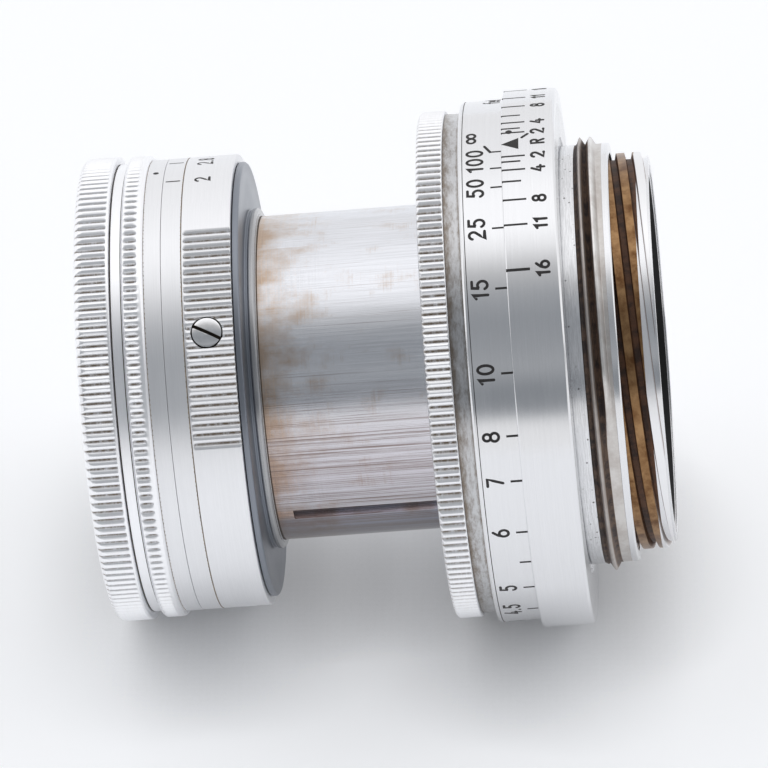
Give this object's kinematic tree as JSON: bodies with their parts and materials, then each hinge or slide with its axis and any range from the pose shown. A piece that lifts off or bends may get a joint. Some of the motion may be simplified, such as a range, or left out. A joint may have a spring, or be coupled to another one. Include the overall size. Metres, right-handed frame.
{
  "type": "camera lens",
  "caption": "Collapsible prime camera lens with screw mount, helical focusing ring, sliding tube, bladed iris and click-free aperture ring.",
  "frame": {"origin": "centre of the flange seat, the rear face of the depth-of-field ring", "axes": "+Y along the optical axis towards the camera, -Y towards the subject, +Z through the index mark"},
  "size_m": [0.0482, 0.0507, 0.0482],
  "materials": {
    "chrome": "satin chrome plate, turned, worn",
    "helicoid_brass": "aged turned brass",
    "plain_brass": "turned brass",
    "glass": "polished, lightly coated",
    "black_paint": "matt black",
    "blade_steel": "blued spring steel",
    "screw_steel": "polished steel",
    "felt": "black felt"
  },
  "bodies": {
    "mount": {"mount_barrel": "helicoid_brass", "depth_scale_ring": "chrome", "scale_ring_screw_1": "screw_steel", "scale_ring_screw_2": "screw_steel", "scale_ring_screw_3": "screw_steel", "stop_screw": "screw_steel", "infinity_catch": "chrome", "catch_screw_1": "screw_steel", "catch_screw_2": "screw_steel"},
    "cam": {"rangefinder_cam_ring": "plain_brass"},
    "focus": {"helicoid_sleeve": "helicoid_brass", "distance_scale_ring": "chrome", "distance_ring_screw_1": "screw_steel", "distance_ring_screw_2": "screw_steel", "focus_knurled_ring": "chrome", "tube_light_seal": "felt", "focus_lever": "chrome", "lever_screw_1": "screw_steel", "lever_screw_2": "screw_steel"},
    "button": {"infinity_button": "chrome", "button_spring": "screw_steel"},
    "guide": {"tube_guide_ring": "plain_brass", "guide_key": "plain_brass"},
    "barrel": {"collapsing_tube": "chrome", "head_collar": "chrome", "head_barrel": "black_paint", "index_ring": "chrome", "front_bezel": "chrome", "filter_ring": "chrome", "filter_glass": "glass", "filter_retaining_ring": "black_paint", "name_ring": "black_paint", "lens_1": "glass", "lens_2": "glass", "lens_3": "glass", "lens_4": "glass", "lens_5": "glass", "lens_6": "glass", "lens_7": "glass", "front_cell": "black_paint", "front_spacer": "black_paint", "rear_cell": "black_paint", "rear_spacer": "black_paint", "rear_retaining_ring": "black_paint", "iris_housing": "black_paint"},
    "aperture": {"aperture_ring": "chrome", "aperture_tick_ring": "chrome", "aperture_tab_screw_1": "screw_steel", "aperture_tab_screw_2": "screw_steel", "iris_actuating_ring": "black_paint"},
    "blade_01": {"iris_blade_01": "blade_steel"},
    "blade_02": {"iris_blade_02": "blade_steel"},
    "blade_03": {"iris_blade_03": "blade_steel"},
    "blade_04": {"iris_blade_04": "blade_steel"},
    "blade_05": {"iris_blade_05": "blade_steel"},
    "blade_06": {"iris_blade_06": "blade_steel"},
    "blade_07": {"iris_blade_07": "blade_steel"},
    "blade_08": {"iris_blade_08": "blade_steel"},
    "blade_09": {"iris_blade_09": "blade_steel"},
    "blade_10": {"iris_blade_10": "blade_steel"}
  },
  "joints": [
    {"name": "focus_travel", "type": "slide", "parent": "mount", "child": "cam", "axis": [0, -1, 0], "range_m": [0, 0.00277]},
    {"name": "focus_turn", "type": "hinge", "parent": "cam", "child": "focus", "pos_m": [0, 0, 0], "axis": [0, -1, 0], "range_deg": [0, 171]},
    {"name": "button_press", "type": "slide", "parent": "focus", "child": "button", "axis": [0, 1, 0], "range_m": [0, 0.001], "stiffness_N_per_m": 200, "deforming": ["button_spring"]},
    {"name": "lock_turn", "type": "hinge", "parent": "focus", "child": "guide", "pos_m": [0, 0, 0], "axis": [0, 1, 0], "range_deg": [0, 17]},
    {"name": "collapse", "type": "slide", "parent": "guide", "child": "barrel", "axis": [0, 1, 0], "range_m": [0, 0.015]},
    {"name": "aperture_turn", "type": "hinge", "parent": "barrel", "child": "aperture", "pos_m": [0, -0.031, 0], "axis": [0, 1, 0], "range_deg": [-6, 78]},
    {"name": "blade_turn_01", "type": "hinge", "parent": "barrel", "child": "blade_01", "pos_m": [0, -0.0303, 0.0155], "axis": [0, 1, 0], "range_deg": [-2.6, 31.8]},
    {"name": "blade_turn_02", "type": "hinge", "parent": "barrel", "child": "blade_02", "pos_m": [0.00911, -0.0303, 0.01254], "axis": [0, 1, 0], "range_deg": [-2.6, 31.8]},
    {"name": "blade_turn_03", "type": "hinge", "parent": "barrel", "child": "blade_03", "pos_m": [0.01474, -0.0303, 0.00479], "axis": [0, 1, 0], "range_deg": [-2.6, 31.8]},
    {"name": "blade_turn_04", "type": "hinge", "parent": "barrel", "child": "blade_04", "pos_m": [0.01474, -0.0303, -0.00479], "axis": [0, 1, 0], "range_deg": [-2.6, 31.8]},
    {"name": "blade_turn_05", "type": "hinge", "parent": "barrel", "child": "blade_05", "pos_m": [0.00911, -0.0303, -0.01254], "axis": [0, 1, 0], "range_deg": [-2.6, 31.8]},
    {"name": "blade_turn_06", "type": "hinge", "parent": "barrel", "child": "blade_06", "pos_m": [0, -0.0303, -0.0155], "axis": [0, 1, 0], "range_deg": [-2.6, 31.8]},
    {"name": "blade_turn_07", "type": "hinge", "parent": "barrel", "child": "blade_07", "pos_m": [-0.00911, -0.0303, -0.01254], "axis": [0, 1, 0], "range_deg": [-2.6, 31.8]},
    {"name": "blade_turn_08", "type": "hinge", "parent": "barrel", "child": "blade_08", "pos_m": [-0.01474, -0.0303, -0.00479], "axis": [0, 1, 0], "range_deg": [-2.6, 31.8]},
    {"name": "blade_turn_09", "type": "hinge", "parent": "barrel", "child": "blade_09", "pos_m": [-0.01474, -0.0303, 0.00479], "axis": [0, 1, 0], "range_deg": [-2.6, 31.8]},
    {"name": "blade_turn_10", "type": "hinge", "parent": "barrel", "child": "blade_10", "pos_m": [-0.00911, -0.0303, 0.01254], "axis": [0, 1, 0], "range_deg": [-2.6, 31.8]}
  ],
  "couplings": [
    {"joint": "focus_turn", "follows": "focus_travel", "rad_per_m": 1077.7},
    {"joint": "blade_turn_01", "follows": "aperture_turn", "ratio": 0.4042},
    {"joint": "blade_turn_02", "follows": "aperture_turn", "ratio": 0.4042},
    {"joint": "blade_turn_03", "follows": "aperture_turn", "ratio": 0.4042},
    {"joint": "blade_turn_04", "follows": "aperture_turn", "ratio": 0.4042},
    {"joint": "blade_turn_05", "follows": "aperture_turn", "ratio": 0.4042},
    {"joint": "blade_turn_06", "follows": "aperture_turn", "ratio": 0.4042},
    {"joint": "blade_turn_07", "follows": "aperture_turn", "ratio": 0.4042},
    {"joint": "blade_turn_08", "follows": "aperture_turn", "ratio": 0.4042},
    {"joint": "blade_turn_09", "follows": "aperture_turn", "ratio": 0.4042},
    {"joint": "blade_turn_10", "follows": "aperture_turn", "ratio": 0.4042}
  ]
}
